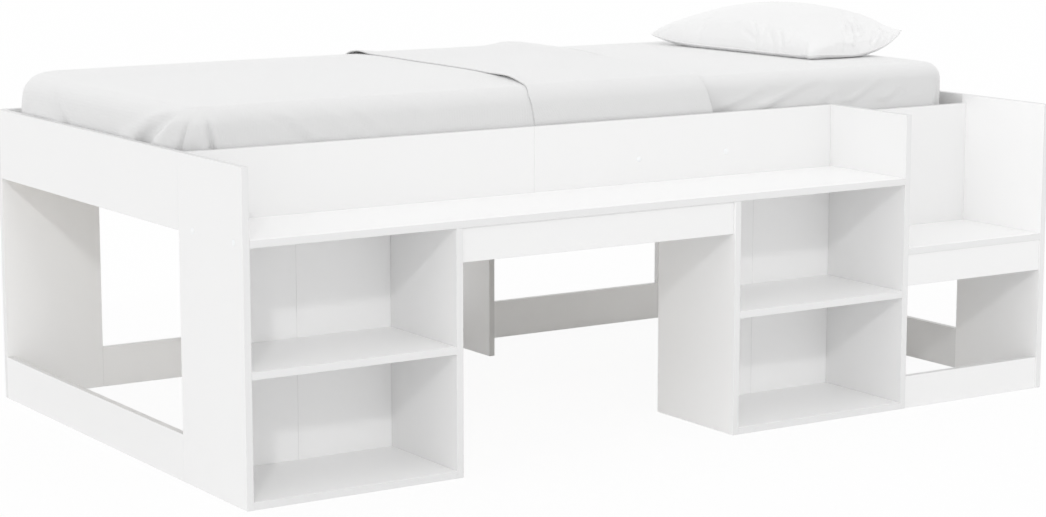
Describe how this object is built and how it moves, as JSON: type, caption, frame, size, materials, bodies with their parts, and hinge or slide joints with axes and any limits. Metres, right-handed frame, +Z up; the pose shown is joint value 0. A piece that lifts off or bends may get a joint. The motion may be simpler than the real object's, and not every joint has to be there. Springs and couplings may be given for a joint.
{
  "type": "cabin bed",
  "caption": "White cabin bed with a low desk, open bookcases and a step along one long side, made up with mattress, blanket and pillow.",
  "frame": {"origin": "centre of the footprint, on the floor", "axes": "+X from the foot end to the head end with the step, +Y from the desk side to the wall side, +Z up"},
  "size_m": [2.057, 1.205, 0.8581],
  "materials": {
    "white_board": "white melamine-faced board, satin",
    "pine": "planed pine, unvarnished",
    "cap_plastic": "white cover cap",
    "mattress_cover": "knitted mattress cover",
    "sheet_cotton": "plain cotton",
    "blanket_cotton": "crinkled woven cotton",
    "pillow_cotton": "plain cotton"
  },
  "bodies": {
    "root": {"back_bottom_rail": "white_board", "back_cleat_left": "pine", "back_cleat_right": "pine", "back_guard": "white_board", "back_left_leg": "white_board", "back_right_leg": "white_board", "blanket": "blanket_cotton", "centre_support": "white_board", "desk_apron": "white_board", "desk_top": "white_board", "divider": "white_board", "fitted_sheet": "sheet_cotton", "front_cleat_left": "pine", "front_cleat_right": "pine", "guard_cap_left": "cap_plastic", "guard_cap_right": "cap_plastic", "guard_left": "white_board", "guard_right": "white_board", "left_bookcase_back": "white_board", "left_bookcase_bottom": "white_board", "left_bookcase_leg_board": "white_board", "left_bookcase_shelf": "white_board", "left_bookcase_side": "white_board", "left_bottom_rail": "white_board", "left_cap_back": "cap_plastic", "left_cap_front": "cap_plastic", "left_front_upright": "white_board", "left_top_rail": "white_board", "mattress": "mattress_cover", "pillow": "pillow_cotton", "right_bookcase_back": "white_board", "right_bookcase_bottom": "white_board", "right_bookcase_leg_board": "white_board", "right_bookcase_shelf": "white_board", "right_bookcase_side": "white_board", "right_bottom_rail": "white_board", "right_cap_back": "cap_plastic", "right_cap_front": "cap_plastic", "right_front_upright": "white_board", "right_top_rail": "white_board", "slat_01": "pine", "slat_02": "pine", "slat_03": "pine", "slat_04": "pine", "slat_05": "pine", "slat_06": "pine", "slat_07": "pine", "slat_08": "pine", "slat_09": "pine", "slat_10": "pine", "slat_11": "pine", "slat_12": "pine", "slat_13": "pine", "step_apron": "white_board", "step_bottom_rail": "white_board", "step_guard": "white_board", "step_platform": "white_board"}
  },
  "joints": []
}
